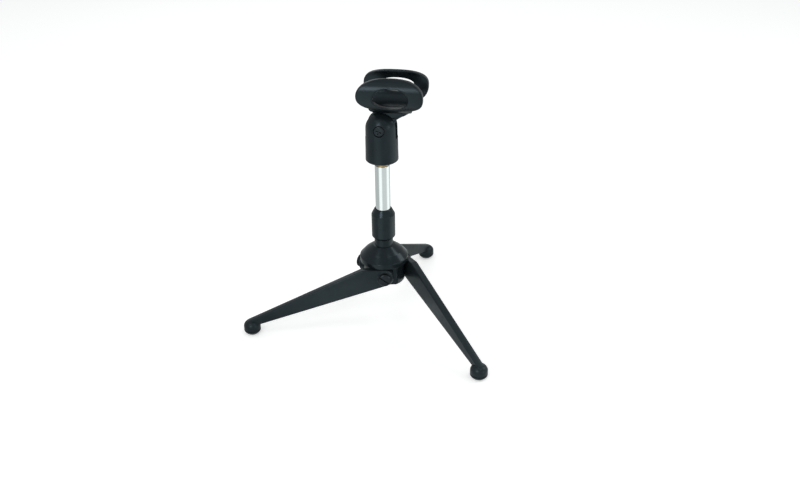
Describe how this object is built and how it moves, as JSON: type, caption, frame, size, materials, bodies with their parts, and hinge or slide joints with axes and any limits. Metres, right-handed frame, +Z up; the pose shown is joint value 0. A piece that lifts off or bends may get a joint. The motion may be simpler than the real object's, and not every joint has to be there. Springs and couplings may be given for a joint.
{
  "type": "desktop mic stand",
  "caption": "Short tabletop microphone stand: folding tripod base, twist-clutch riser tube and a tilting rubber mic clip on a screw thread.",
  "frame": {"origin": "on the table, under the middle of the assembly's bounding box", "axes": "+Z up along the riser; leg_a runs towards -X; the mic channel runs along +X, turned 10.5 degrees towards -Y; the riser's axis stands at X +20.01 mm, Y -9.00 mm"},
  "size_m": [0.1962, 0.2064, 0.2165],
  "materials": {
    "hub_enamel": "glossy black enamel over a casting",
    "leg_enamel": "satin black enamel, fine orange peel",
    "black_steel": "black-oxide steel, bright where the driver wears it",
    "foot_rubber": "moulded black rubber, slight sheen",
    "moulded_black": "moulded black plastic, soft gloss",
    "collet_nylon": "black nylon",
    "riser_chrome": "polished chrome plate",
    "turned_brass": "turned brass, lightly tarnished",
    "yoke_black": "moulded black plastic, soft gloss",
    "zinc_steel": "zinc-plated steel",
    "cradle_rubber": "soft black rubber, semi-gloss skin"
  },
  "bodies": {
    "hub": {"hub_casting": "hub_enamel", "leg_pivot_screw_a": "black_steel", "leg_pivot_screw_b": "black_steel", "leg_pivot_screw_c": "black_steel", "leg_pivot_washer_a": "black_steel", "leg_pivot_washer_b": "black_steel", "leg_pivot_washer_c": "black_steel"},
    "leg_a_body": {"leg_a": "leg_enamel", "foot_pad_a": "foot_rubber"},
    "leg_b_body": {"leg_b": "leg_enamel", "foot_pad_b": "foot_rubber"},
    "leg_c_body": {"leg_c": "leg_enamel", "foot_pad_c": "foot_rubber"},
    "collar": {"clutch_collar": "moulded_black"},
    "collet": {"clutch_collet": "collet_nylon"},
    "riser": {"riser_tube": "riser_chrome", "tube_end_plug": "collet_nylon", "riser_stud": "turned_brass", "thread_adapter": "turned_brass", "clip_yoke": "yoke_black", "clip_pivot_screw": "black_steel", "clip_spring_washer": "zinc_steel", "clip_pivot_nut": "zinc_steel"},
    "cradle": {"mic_cradle": "cradle_rubber"}
  },
  "joints": [
    {"name": "leg_fold_a", "type": "hinge", "parent": "hub", "child": "leg_a_body", "pos_m": [0.02001, -0.02645, 0.0503], "axis": [0, -1, 0], "range_deg": [0, 68]},
    {"name": "leg_fold_b", "type": "hinge", "parent": "hub", "child": "leg_b_body", "pos_m": [0.03513, -0.00028, 0.0503], "axis": [0.866, 0.5, 0], "range_deg": [0, 68]},
    {"name": "leg_fold_c", "type": "hinge", "parent": "hub", "child": "leg_c_body", "pos_m": [0.0049, -0.00028, 0.0503], "axis": [-0.866, 0.5, 0], "range_deg": [0, 68]},
    {"name": "collar_twist", "type": "hinge", "parent": "hub", "child": "collar", "pos_m": [0.02001, -0.009, 0.0915], "axis": [0, 0, 1], "range_deg": [0, 270]},
    {"name": "riser_turn", "type": "hinge", "parent": "hub", "child": "collet", "pos_m": [0.02001, -0.009, 0.096], "axis": [0, 0, 1], "continuous": true},
    {"name": "riser_slide", "type": "slide", "parent": "collet", "child": "riser", "axis": [0, 0, 1], "range_m": [-0.036, 0.012]},
    {"name": "clip_tilt", "type": "hinge", "parent": "riser", "child": "cradle", "pos_m": [0.02001, -0.009, 0.1743], "axis": [0.1822, 0.9833, 0], "range_deg": [-75, 50]}
  ]
}
